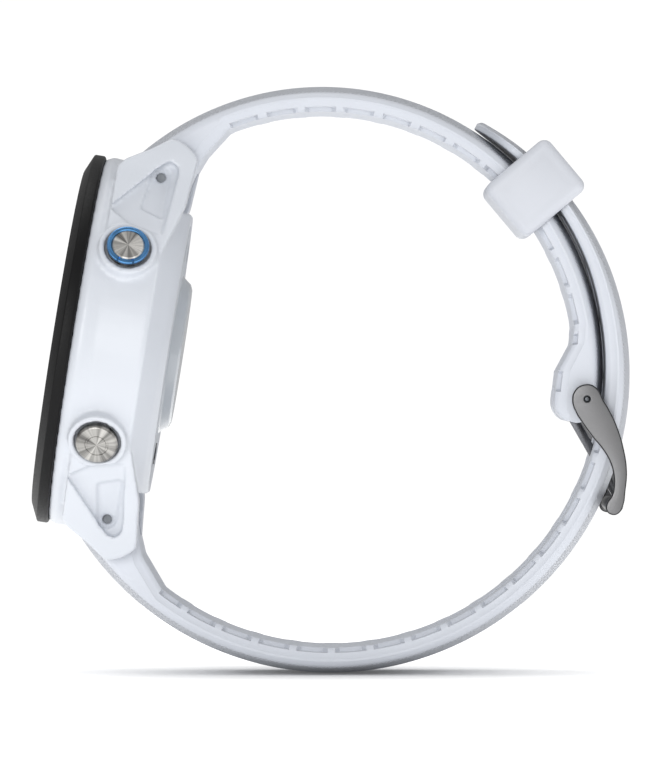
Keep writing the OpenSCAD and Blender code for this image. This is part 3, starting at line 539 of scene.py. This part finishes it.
def end_outline(s, centre, inner, crown, bar, join):
    """Side outline of the thick end round a spring bar, overlapping the arc at join."""
    away = Vector(bar) - Vector(CASE_AT)
    u, d = away.dot(ray(90 - TILT)), -away.dot(ray(180 - TILT))
    back = [on_side(u + s * 1.3, d + END_R + 0.35), on_side(u + s * 3.9, d + END_R + 1.4)]
    front = [on_side(u + s * 6.2, d - END_R + 1.2), on_side(u + s * 3.4, d - END_R + 0.35),
             on_side(u + s * 1.4, d - END_R + 0.08)]
    barrel = arc(bar, END_R, 180 - TILT, (180 - TILT) + s * 180, 20)
    far = [Vector(centre) + inner * ray(join), Vector(centre) + (crown + 3) * ray(join)]
    return barrel + back + far + front


# ================= band =================
def section(width, drop):
    """Ring of the band's cross-section as (depth kind, value, y): inner face, side, crown."""
    h = width / 2
    half = [("in", 0.0, 0.0), ("in", 0.0, h * 0.5), ("in", 0.0, h - 2.7), ("notch", 0.0, h - 0.62),
            ("notch", 0.1, h - 0.46), ("notch", 0.5, h - 0.24), ("flat", 0.62, h - 0.2),
            ("flat", 1.3, h - 0.09), ("flat", 1.42, h), ("out", drop + 0.98, h),
            ("out", drop + 0.84, h - 0.03), ("out", drop + 0.55, h - 0.14),
            ("out", drop + 0.28, h - 0.36), ("out", drop + 0.1, h - 0.66), ("out", drop, h - 1.0),
            ("out", drop * 0.94, h - 1.12), ("out", drop * 0.74, h * 0.72),
            ("out", drop * 0.45, h * 0.52), ("out", drop * 0.18, h * 0.3),
            ("out", drop * 0.04, h * 0.14), ("out", 0.0, 0.0)]
    other = [(kind, value, -y) for kind, value, y in half[1:-1]]
    return half + other[::-1]


def lofted(stations, ring):
    """Carries the ring along stations of (centre, angle, inner, outer, crown, width share,
    notch depth), extruding it from one to the next."""
    bm = bmesh.new()

    def put(verts, station):
        centre, angle, inner, outer, crown, share, notch = station
        thick = outer - inner
        way = ray(angle)
        for vert, (kind, value, y) in zip(verts, ring):
            if kind == "in":
                r = inner
            elif kind in ("notch", "flat"):
                r = inner + min(value, thick * 0.42 * value / 1.42)
                if kind == "notch":
                    y -= math.copysign(notch, y)
            else:
                r = min(max(min(crown - value, outer), inner + thick * 0.5), outer)
            vert.co = ((centre[0] + r * way.x) * MM, y * share * MM, (centre[1] + r * way.y) * MM)

    verts = [bm.verts.new((0, 0, 0)) for _ in ring]
    edges = [bm.edges.new(pair) for pair in zip(verts, verts[1:] + verts[:1])]
    put(verts, stations[0])
    first = list(edges)
    for station in stations[1:]:
        made = bmesh.ops.extrude_edge_only(bm, edges=edges)["geom"]
        new_edges = [g for g in made if isinstance(g, bmesh.types.BMEdge)]
        # the new loop's vertices, in the old loop's order
        across, old = {}, set(verts)
        for face in (g for g in made if isinstance(g, bmesh.types.BMFace)):
            for edge in face.edges:
                a, b = edge.verts
                if a in old and b not in old:
                    across[a] = b
                elif b in old and a not in old:
                    across[b] = a
        verts = [across[v] for v in verts]
        edges = new_edges
        put(verts, station)
    bmesh.ops.contextual_create(bm, geom=first)
    bmesh.ops.contextual_create(bm, geom=edges)
    return bm


def eased(start, stop, step, near_start=0.0, near_stop=0.0):
    """Angles from start to stop, closer together near an end that has a radius in degrees."""
    out, a = [], start
    sign = 1 if stop > start else -1
    while (stop - a) * sign > 1e-6:
        out.append(a)
        gap = min(abs(a - start) / near_start if near_start else 1,
                  abs(stop - a) / near_stop if near_stop else 1, 1)
        a += sign * max(step * gap, step * 0.12)
    return out + [stop]


def notch_at(distance, sizes):
    """Depth of the vent notches at a distance along the inner face, both in millimetres."""
    pitch, size = sizes.notch_pitch / MM, sizes.notch_l / MM
    off = abs((distance % pitch) - pitch / 2)
    return sizes.notch_depth / MM * max(0.0, min(1.0, (size / 2 - off) / 0.2 + 0.5))


def slot_cutter(centre, radius, angle, depth, long_side=6.34, wide=2.6):
    """A round-ended bar that pierces the band."""
    bm = bmesh.new()
    half = (long_side - wide) / 2
    for s in (1, -1):
        for i in range(13):
            a = math.radians(-90 + 15 * i)
            bm.verts.new((s * (half + wide / 2 * math.cos(a)), s * wide / 2 * math.sin(a), 0))
    bm.verts.ensure_lookup_table()
    face = bm.faces.new(bm.verts)
    made = bmesh.ops.extrude_face_region(bm, geom=[face])["geom"]
    bmesh.ops.translate(bm, vec=(0, 0, depth),
                        verts=[g for g in made if isinstance(g, bmesh.types.BMVert)])
    turn = Matrix.Rotation(math.radians(90 - angle), 4, "Y")
    bmesh.ops.transform(bm, verts=bm.verts, matrix=at_spot(centre) @ turn
                        @ Matrix.Translation((0, 0, radius)))
    bmesh.ops.recalc_face_normals(bm, faces=bm.faces)
    return bm


def bar_room(bar):
    """Cutters for a spring bar's bore and for the quick release's finger slot."""
    at = leaning(bar)
    bore = lathe([(0, -14), (0.97, -14), (0.97, 14), (0, 14)],
                 at @ Matrix.Rotation(math.pi / 2, 4, "Y"), 32, closed=False)
    knob = block((5.2, 3.4, 6.0), at @ Matrix.Translation((-6.2, 0, -5.2)))
    return [bore, knob]


class WATCH_OT_short_band(bpy.types.Operator):
    """Buckle half of the band: thick end round the spring bar, crowned arc, and head at the pin"""
    bl_idname = "watch.short_band"
    bl_label = "Buckle half of the band"

    def execute(self, context):
        sizes = context.scene.watch_sizes
        inner, crown = SHORT_R, SHORT_R + sizes.band_t / MM
        join = SHORT_BAR - 19
        end = end_outline(1, SHORT_AT, inner, crown, BAR_UP, join)
        pin, head = Vector(PIN_AT), Vector(PIN_AT) + Vector((-1.35, -0.35))
        nose = arc(pin, 1.9, 0, -80, 8) + arc(head, 2.6, -62, -186, 14)
        head_out = (nose + [Vector(SHORT_AT) + 29.2 * ray(-1.2), Vector(SHORT_AT) + 31.1 * ray(5),
                            Vector(SHORT_AT) + inner * ray(9)]
                    + arc(SHORT_AT, crown + 0.4, 9, -6.5, 8))
        stations = []
        for a in eased(-12.45, 136.9, STEPS_ALONG, 5, 6):
            low, high, notch = inner, crown, notch_at(a * math.pi / 180 * inner, sizes)
            if a < 9:
                hits = crossings(SHORT_AT, a, head_out)
                if len(hits) < 2:
                    continue
                low, high = hits[0], min(hits[-1], crown)
                notch *= 1 if -6 < a < 1 or a > 5 else 0
            elif a > join:
                hits = crossings(SHORT_AT, a, end)
                if len(hits) < 2:
                    continue
                low, high = hits[0], min(hits[-1], crown)
                notch = 0
            stations.append((SHORT_AT, a, low, high, crown, 1.0, notch))
        bm = lofted(stations, section(sizes.band_w / MM, sizes.crown_drop / MM))
        gap = block((9, 2.6, 7.6), at_spot((PIN_AT[0], PIN_AT[1] - 2.3)))
        bm = combined(bm, bar_room(BAR_UP) + [gap], "DIFFERENCE")
        rgb = context.scene.watch_colours.band
        skin = hatched_silicone("hatched_silicone_short", rgb, SHORT_AT, crown,
                                sizes.hatch_pitch)
        piece = finish_piece("buckle_band", bm, skin, "watch", ["short_band"])
        smooth_by_angle(piece)
        return {"FINISHED"}


class WATCH_OT_long_band(bpy.types.Operator):
    """Long half of the band: thick end, crowned arc with adjusting slots, and thinned free end"""
    bl_idname = "watch.long_band"
    bl_label = "Long half of the band"

    def execute(self, context):
        sizes = context.scene.watch_sizes
        inner, crown = LONG_R, LONG_R + sizes.band_t / MM
        join = LONG_BAR + 19
        end = end_outline(-1, LONG_AT, inner, crown, BAR_LOW, join)
        stations = []
        for a in eased(-153.4, TURN, STEPS_ALONG, 6, 0):
            low, high, notch = inner, crown, notch_at(a * math.pi / 180 * inner + 1, sizes)
            if a < join:
                hits = crossings(LONG_AT, a, end)
                if len(hits) < 2:
                    continue
                low, high, notch = hits[0], min(hits[-1], crown), 0
            if a > THIN - 4:
                ease = min(1.0, (a - THIN + 4) / 4)
                low = max(low, low + (reach_to_lap(LONG_AT, a) - low) * ease)
                notch = 0
            stations.append((LONG_AT, a, low, high, crown, 1.0, notch))
        round_r = 13.64
        for a in eased(TURN, TIP, STEPS_ALONG, 0, 14)[1:]:
            left = max(0.02, (TIP - a) * math.pi / 180 * TONGUE_CROWN)
            share = 1.0 if left > 5.57 else math.sqrt(left * (2 * round_r - left)) / 11.0
            low = reach_to_lap(TONGUE_AT, a) + 0.18 * min(1, (a - TURN) / 12)
            high = TONGUE_CROWN - 0.5 * max(0.0, 1 - left / 0.8) ** 2
            stations.append((TONGUE_AT, a, low, high, TONGUE_CROWN, share, 0))
        bm = lofted(stations, section(sizes.band_w / MM, sizes.crown_drop / MM))
        step = SLOT_PITCH / (inner + 1.7) * 180 / math.pi
        cutters = [slot_cutter(LONG_AT, inner - 1.5, SLOT_USED + i * step, 8)
                   for i in range(-4, 3)]
        cutters += [slot_cutter(TONGUE_AT, TONGUE_CROWN - 4, TURN + 6.2 + i * step, 8)
                    for i in range(3)]
        bm = combined(bm, bar_room(BAR_LOW) + cutters, "DIFFERENCE")
        rgb = context.scene.watch_colours.band
        skin = hatched_silicone("hatched_silicone_long", rgb, LONG_AT, crown, sizes.hatch_pitch)
        piece = finish_piece("holed_band", bm, skin, "watch", ["long_band"])
        smooth_by_angle(piece)
        return {"FINISHED"}


def reach_to_lap(centre, angle):
    """How far from centre the ray at angle meets the buckle half's crown, with its clearance."""
    way, gap = ray(angle), Vector(centre) - Vector(SHORT_AT)
    b = way.dot(gap)
    return -b + math.sqrt(b * b - gap.dot(gap) + LAP * LAP)


def smooth_by_angle(piece, limit=32):
    """Smooth shading except across edges sharper than the limit."""
    mesh = piece.data
    bm = bmesh.new()
    bm.from_mesh(mesh)
    for edge in bm.edges:
        edge.smooth = len(edge.link_faces) != 2 or edge.calc_face_angle(0) < math.radians(limit)
    bm.to_mesh(mesh)
    bm.free()


class WATCH_OT_keeper(bpy.types.Operator):
    """Pillowed silicone loop that holds the free end"""
    bl_idname = "watch.keeper"
    bl_label = "Keeper loop"

    def execute(self, context):
        half_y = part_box("keeper")[1].y / MM
        r0, r1, wall_in, wall_out, tall = 31.25, 37.85, 1.9, 1.6, 8.2
        turn = Matrix.Rotation(math.radians(-KEEPER), 4, "Y")
        mid, size = (r0 - wall_in + r1 + wall_out) / 2, r1 + wall_out - r0 + wall_in
        proud = 0.42
        at = at_spot(SHORT_AT) @ turn
        bm = block((size, 2 * (half_y - proud), tall), at @ Matrix.Translation((mid, 0, 0)))
        bmesh.ops.bevel(bm, geom=list(bm.edges), offset=context.scene.watch_sizes.keeper_round,
                        offset_type="OFFSET", segments=6, profile=0.5, affect="EDGES",
                        clamp_overlap=True, material=-1)
        cheeks = [f for f in bm.faces if abs(f.normal.y) > 0.999 and f.calc_area() > 6e-6]
        bmesh.ops.inset_individual(bm, faces=cheeks, thickness=1.15 * MM, depth=proud * MM)
        window = block((r1 - r0, 2 * half_y - 3.2, tall + 4),
                       at @ Matrix.Translation(((r0 + r1) / 2, 0, 0)))
        bmesh.ops.bevel(window, geom=list(window.edges), offset=0.5 * MM,
                        offset_type="OFFSET", segments=3, profile=0.5, affect="EDGES",
                        clamp_overlap=True, material=-1)
        bm = combined(bm, [window], "DIFFERENCE")
        piece = finish_piece("keeper_loop_silicone", bm, material_for("keeper_silicone"),
                             "keeper_loop", ["keeper"])
        smooth_by_angle(piece)
        return {"FINISHED"}


class WATCH_OT_case(bpy.types.Operator):
    """Moulded case with its lugs, pockets and button collars, all edges soft"""
    bl_idname = "watch.case"
    bl_label = "Case"

    def execute(self, context):
        obj = loose_object(copy_of_node("case"), "case_form")
        bm = shaped(obj, [("REMESH", {"mode": "VOXEL", "voxel_size": 0.24 * MM}),
                          ("SMOOTH", {"factor": 0.5, "iterations": 5})])
        finish_piece("case_body", bm, material_for("case_polymer"), "watch",
                     ["case"])
        return {"FINISHED"}


class WATCH_OT_front(bpy.types.Operator):
    """Bezel ring with its chamfer"""
    bl_idname = "watch.front"
    bl_label = "Bezel"

    def execute(self, context):
        thick, lens_z = 2.4, 1.3
        ring = [(LENS_R - 1.2, 0), (CASE_R - 0.2, 0), (CASE_R, 0.2), (CASE_R, thick - 1),
                (CASE_R - 2.2, thick), (LENS_R + 0.25, thick), (LENS_R + 0.05, thick - 0.25),
                (LENS_R + 0.05, lens_z), (LENS_R - 1.2, lens_z)]
        bm = soften(lathe(ring, case_matrix(), 180), 0.14, 3, 15)
        piece = finish_piece("bezel_ring", bm, material_for("bezel_polymer"), "watch",
                             ["bezel"])
        smooth_by_angle(piece, 40)
        return {"FINISHED"}


class WATCH_OT_buttons(bpy.types.Operator):
    """Five button caps turned from bar, the start button with its blue anodised ring"""
    bl_idname = "watch.buttons"
    bl_label = "Button caps"

    def execute(self, context):
        colours = context.scene.watch_colours
        for name, angle in CAPS.items():
            at = button_matrix(angle)
            face = at @ Matrix.Translation((0, 0, CAP_FACE))
            rgb = [c * (1.0 if name == "start" else DARK_CAP) for c in colours.metal]
            metal = turned_metal(f"turned_metal_{name}", rgb, face, 0.3, 0.09)
            if name == "start":
                cap = [(0, CAP_FACE), (1.86, CAP_FACE), (2.0, CAP_FACE - 0.12),
                       (2.0, CAP_FACE - 0.45), (2.56, CAP_FACE - 0.45), (2.56, CAP_FACE - 1.0),
                       (1.0, CAP_FACE - 1.0), (1.0, CAP_STEM), (0, CAP_STEM)]
            else:
                cap = [(0, CAP_FACE - 0.06), (1.15, CAP_FACE - 0.06), (1.2, CAP_FACE - 0.14),
                       (1.4, CAP_FACE - 0.14), (1.45, CAP_FACE - 0.06), (2.3, CAP_FACE),
                       (2.42, CAP_FACE - 0.06), (2.6, CAP_FACE - 0.3), (2.6, CAP_FACE - 1.0),
                       (1.0, CAP_FACE - 1.0), (1.0, CAP_STEM), (0, CAP_STEM)]
            bm = lathe(cap, at, 64, closed=False)
            piece = finish_piece(f"{name}_cap_turned", bm, metal, f"{name}_button",
                                 [f"{name}_cap"])
            smooth_by_angle(piece)
            if name == "start":
                ring = [(2.03, CAP_FACE - 0.4), (2.62, CAP_FACE - 0.4), (2.62, CAP_FACE - 0.16),
                        (2.54, CAP_FACE - 0.03), (2.44, CAP_FACE), (2.16, CAP_FACE),
                        (2.03, CAP_FACE - 0.1)]
                # the blue ring gets only faint painted highlight and shade sectors
                blue = turned_metal("blue_anodised_aluminium", colours.accent, face, 0.25, 0.12,
                                    extra={"Coat Weight": 0.3, "Coat Roughness": 0.1}, painted_fan=0.12)
                bm = lathe(ring, at, 96)
                notches = [block((0.26, 0.7, 0.5), at @ Matrix.Rotation(math.radians(t), 4, "Z")
                                 @ Matrix.Translation((0, -2.4, CAP_FACE))) for t in (22, -22)]
                bm = combined(bm, notches, "DIFFERENCE")
                piece = finish_piece("start_ring_turned", bm, blue, "start_button",
                                     ["start_ring"])
                smooth_by_angle(piece)
        return {"FINISHED"}


def arm_outline():
    """Smooth side outline of a buckle arm through its own points, as a closed curve's points."""
    pin, end = Vector(PIN_AT), Vector(ENDBAR_AT)
    way = (end - pin).normalized()
    out = Vector((-way.y, way.x))

    def at(s, t):
        return pin + s * way + t * out
    long_side = [(0.9, 1.98), (2.4, 2.4), (4.4, 2.72), (7.0, 2.8), (9.9, 2.45), (12.3, 1.6),
                 (13.75, 0.98)]
    tip = [(14.65, 0.1), (14.6, -0.75), (13.9, -1.25), (13.1, -1.0)]
    inside = [(12.3, -0.15), (11.2, 0.42), (9.7, 0.75), (8.2, 0.72), (6.6, 0.3), (4.6, -0.6),
              (2.6, -1.35), (1.3, -1.75)]
    head = [(-0.2, -1.84), (-1.4, -1.2), (-1.85, 0.0), (-1.3, 1.3)]
    return [at(s, t) for s, t in long_side + tip + inside + head]


def flat_curve(points, half_thick, edge, y):
    """A closed smooth outline in XZ, thickened along Y about y, with rounded edges, as a bmesh."""
    data = bpy.data.curves.new("outline", "CURVE")
    data.dimensions, data.fill_mode = "2D", "BOTH"
    data.extrude, data.bevel_depth, data.bevel_resolution = half_thick - edge, edge, 3
    data.offset = -edge
    spline = data.splines.new("BEZIER")
    spline.bezier_points.add(len(points) - 1)
    for spot, p in zip(spline.bezier_points, points):
        spot.co = (p[0], p[1], 0)
        spot.handle_left_type = spot.handle_right_type = "AUTO"
    spline.use_cyclic_u = True
    spline.resolution_u = 6
    obj = bpy.data.objects.new("outline", data)
    bpy.context.scene.collection.objects.link(obj)
    bm = shaped(obj, [])
    bpy.data.curves.remove(data)
    turn = Matrix.Translation((0, y * MM, 0)) @ Matrix.Rotation(math.pi / 2, 4, "X")
    bmesh.ops.transform(bm, matrix=turn @ Matrix.Scale(MM, 4), verts=bm.verts)
    bmesh.ops.remove_doubles(bm, verts=bm.verts, dist=2e-6)
    bmesh.ops.recalc_face_normals(bm, faces=bm.faces)
    return bm


class WATCH_OT_buckle(bpy.types.Operator):
    """Blasted steel frame with two curved arms, its pin, and the tang"""
    bl_idname = "watch.buckle"
    bl_label = "Buckle"

    def execute(self, context):
        arm_in, arm_t = 11.25, 1.5
        sides = [flat_curve(arm_outline(), arm_t / 2, 0.22, s * (arm_in + arm_t / 2))
                 for s in (1, -1)]
        bar = across_band([(0, -arm_in - 0.4), (0.98, -arm_in - 0.4), (0.98, arm_in + 0.4),
                           (0, arm_in + 0.4)], ENDBAR_AT, 48)
        bm = combined(sides[0], [sides[1], bar], "UNION")
        way = Vector((ENDBAR_AT[0] - PIN_AT[0], ENDBAR_AT[1] - PIN_AT[1])).normalized()
        lean = Matrix.Rotation(math.atan2(-way.y, way.x), 4, "Y")
        notch = block((3.4, 2.6, 2.4), at_spot(ENDBAR_AT) @ lean
                      @ Matrix.Translation((0, 0, 0.15 + 1.2)))
        bm = combined(bm, [notch], "DIFFERENCE")
        bore = across_band([(0, -14), (0.48, -14), (0.48, -12.3), (0.75, -12.3), (0.75, 12.3),
                            (0.48, 12.3), (0.48, 14), (0, 14)], PIN_AT)
        bm = combined(bm, [bore], "DIFFERENCE")
        piece = finish_piece("buckle_arms", bm, material_for("blasted_steel"), "buckle",
                             ["buckle_frame"])
        # painted shade: the rim and its bevels, the faces that don't face along the pin, get a
        # darker steel so that the arms show a dark outline
        piece.data.materials.append(grained("painted_shade_rim_steel", linear("#232425"), 0.4, 0.16, 0.006,
                                            metal=0.6))
        for face in piece.data.polygons:
            face.material_index = 1 if abs(face.normal.y) < 0.9 else 0
        smooth_by_angle(piece, 25)
        pin = [(0, -12.45), (0.24, -12.42), (0.36, -12.25), (0.7, -12.2), (0.7, 12.2),
               (0.36, 12.25), (0.24, 12.42), (0, 12.45)]
        smooth_by_angle(finish_piece("pin_turned", across_band(pin, PIN_AT),
                                     material_for("plain_steel"), "buckle",
                                     ["buckle_pin"]), 25)
        bm = soften(copy_of_node("buckle_tang"), 0.2, 3, 25)
        smooth_by_angle(finish_piece("tang_bent", bm, material_for("dark_steel"), "tang",
                                     ["buckle_tang"]), 25)
        return {"FINISHED"}


class WATCH_OT_solids(bpy.types.Operator):
    """Finishes of the solids whose own shape is already right"""
    bl_idname = "watch.solids"
    bl_label = "Other solids"

    def execute(self, context):
        replaced = {n for o in bpy.data.objects for n in o.get("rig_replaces", [])}
        slots = {p["node"]: p["material_slot"] for p in frame["record"]["subparts"]}
        for name, obj in frame["nodes"].items():
            if name in replaced:
                continue
            obj.data.materials.clear()
            obj.data.materials.append(material_for(slots.get(name, "dark_polymer")))
        return {"FINISHED"}


class WATCH_OT_stage(bpy.types.Operator):
    """Pale floor, soft studio light and the camera at the 3 o'clock side"""
    bl_idname = "watch.stage"
    bl_label = "Floor, light and camera"

    def execute(self, context):
        scene = context.scene
        scene.view_settings.view_transform = "Standard"
        bm = bmesh.new()
        bmesh.ops.create_grid(bm, x_segments=8, y_segments=8, size=0.32)
        bmesh.ops.translate(bm, vec=(0, 0, CAD_BOX[0].z), verts=bm.verts)
        floor = loose_object(bm, "floor")
        # matt white table with a painted glow that is weakest near the watch and grows away from
        # it, so its edge fades out and the painted shade round the watch stays deep
        sheet, tree, place = start_material("painted_glow_white_table")
        reach = add(tree, "ShaderNodeVectorMath", {1: (1, 1, 0)}, {0: place},
                    operation="MULTIPLY")[0]
        reach = add(tree, "ShaderNodeVectorMath", links={0: reach}, operation="LENGTH")["Value"]
        glow = add(tree, "ShaderNodeMapRange", {"From Min": 12 * MM, "From Max": 46 * MM,
                                               "To Min": 0.06, "To Max": 0.8}, {"Value": reach})[0]
        end_material(tree, {"Base Color": (0.88, 0.88, 0.88, 1), "Roughness": 0.9,
                            "Specular IOR Level": 0.0, "Emission Color": (1, 1, 1, 1)},
                     {"Emission Strength": glow})
        floor.data.materials.append(sheet)
        world = bpy.data.worlds.new("studio")
        world.use_nodes = True
        tree = world.node_tree
        tree.nodes.clear()
        seen = add(tree, "ShaderNodeLightPath")["Is Camera Ray"]
        strength = add(tree, "ShaderNodeMapRange", {"To Min": 0.46, "To Max": 1.05},
                       {"Value": seen})[0]
        light = add(tree, "ShaderNodeBackground", {"Color": (1, 1, 1, 1)},
                    {"Strength": strength})[0]
        add(tree, "ShaderNodeOutputWorld", links={"Surface": light})
        scene.world = world
        lamps = [("front_box", (-0.3, -1.1, 0.2), 0.55, 5.0),
                 ("top_box", (-0.1, 0.1, 0.8), 0.5, 1.7),
                 ("edge_strip", (0.7, -0.35, 0.35), 0.25, 0.8)]
        for name, spot, size, power in lamps:
            data = bpy.data.lights.new(name, "AREA")
            data.shape, data.size, data.energy = "SQUARE", size, power
            lamp = bpy.data.objects.new(name, data)
            lamp.location = spot
            lamp.rotation_mode = "QUATERNION"
            lamp.rotation_quaternion = (-Vector(spot)).to_track_quat("-Z", "Y")
            scene.collection.objects.link(lamp)
        data = bpy.data.cameras.new("camera")
        data.sensor_width, data.lens = 36, 367.7
        data.clip_start, data.clip_end = 0.05, 50
        camera = bpy.data.objects.new("camera", data)
        camera.location = (-1.06 * MM, -1.0, -1.3 * MM)
        camera.rotation_euler = (math.pi / 2, 0, 0)
        scene.collection.objects.link(camera)
        scene.camera = camera
        return {"FINISHED"}


OPERATORS = [WATCH_OT_stage, WATCH_OT_case, WATCH_OT_front, WATCH_OT_buttons,
             WATCH_OT_short_band, WATCH_OT_long_band, WATCH_OT_keeper, WATCH_OT_buckle,
             WATCH_OT_solids]


class WATCH_PT_sidebar(bpy.types.Panel):
    """Lists the pieces in the 3D view's sidebar"""
    bl_idname = "WATCH_PT_sidebar"
    bl_label = "Running watch"
    bl_space_type = "VIEW_3D"
    bl_region_type = "UI"
    bl_category = "Watch"

    def draw(self, context):
        for group in (context.scene.watch_colours, context.scene.watch_sizes):
            for name in group.__annotations__:
                self.layout.prop(group, name)
        for operator in OPERATORS:
            self.layout.operator(operator.bl_idname)


CLASSES = [WatchColours, WatchSizes, *OPERATORS, WATCH_PT_sidebar]


def register():
    for cls in CLASSES:
        bpy.utils.register_class(cls)
    bpy.types.Scene.watch_colours = bpy.props.PointerProperty(type=WatchColours)
    bpy.types.Scene.watch_sizes = bpy.props.PointerProperty(type=WatchSizes)


def unregister():
    del bpy.types.Scene.watch_sizes
    del bpy.types.Scene.watch_colours
    for cls in reversed(CLASSES):
        bpy.utils.unregister_class(cls)


def main():
    register()
    for operator in OPERATORS:
        family, name = operator.bl_idname.split(".")
        if getattr(getattr(bpy.ops, family), name)() != {"FINISHED"}:
            raise RuntimeError(f"{operator.bl_idname} didn't finish")


if __name__ == "__main__":
    main()
